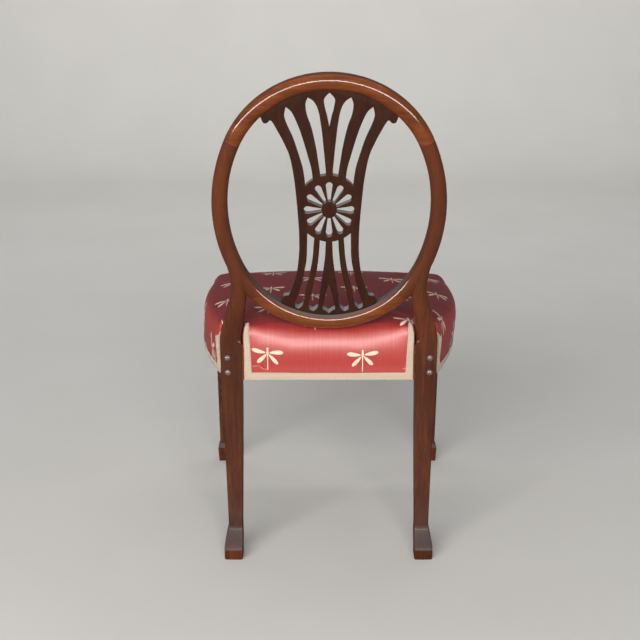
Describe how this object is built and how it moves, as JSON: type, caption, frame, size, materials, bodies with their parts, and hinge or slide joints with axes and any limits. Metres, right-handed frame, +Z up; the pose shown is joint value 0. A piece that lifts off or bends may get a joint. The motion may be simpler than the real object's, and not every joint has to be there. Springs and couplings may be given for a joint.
{
  "type": "dining chair",
  "caption": "Oval back side chair with a pierced wheel splat, a stuffed satin seat, and tapered legs with kicked rear feet.",
  "frame": {"origin": "bottom centre of the bounding box, on the floor between the four feet", "axes": "+Z up; the chair faces -Y, so its back is at +Y; +X is the left side of a person sitting in it"},
  "size_m": [0.5512, 0.565, 0.9655],
  "materials": {
    "mahogany": "dark red-brown French polish, glossy",
    "beech": "plain planed hardwood, hidden inside the seat",
    "screw_steel": "plain steel",
    "tack_steel": "blued steel",
    "jute": "coarse woven jute",
    "stuffing": "curled hair under wadding",
    "satin": "ribbed red satin with cream woven sprigs",
    "braid": "cream woven braid",
    "dust_cloth": "black cotton"
  },
  "bodies": {
    "root": {"crest_rail": "mahogany", "lower_back_rail": "mahogany", "back_splat": "mahogany", "back_dowels": "beech", "rear_leg_left": "mahogany", "rear_leg_right": "mahogany", "front_leg_left": "mahogany", "front_leg_right": "mahogany", "front_rail": "beech", "side_rail_left": "beech", "side_rail_right": "beech", "rear_rail": "beech", "front_corner_blocks": "beech", "rear_corner_blocks": "beech", "block_screws": "screw_steel", "rail_screws": "screw_steel", "rail_plugs": "mahogany", "webbing_lengthwise": "jute", "webbing_crosswise": "jute", "seat_hessian": "jute", "seat_stuffing": "stuffing", "seat_cover": "satin", "rear_braid": "braid", "side_braid": "braid", "dust_cover": "dust_cloth", "dust_cover_tacks": "tack_steel"}
  },
  "joints": []
}
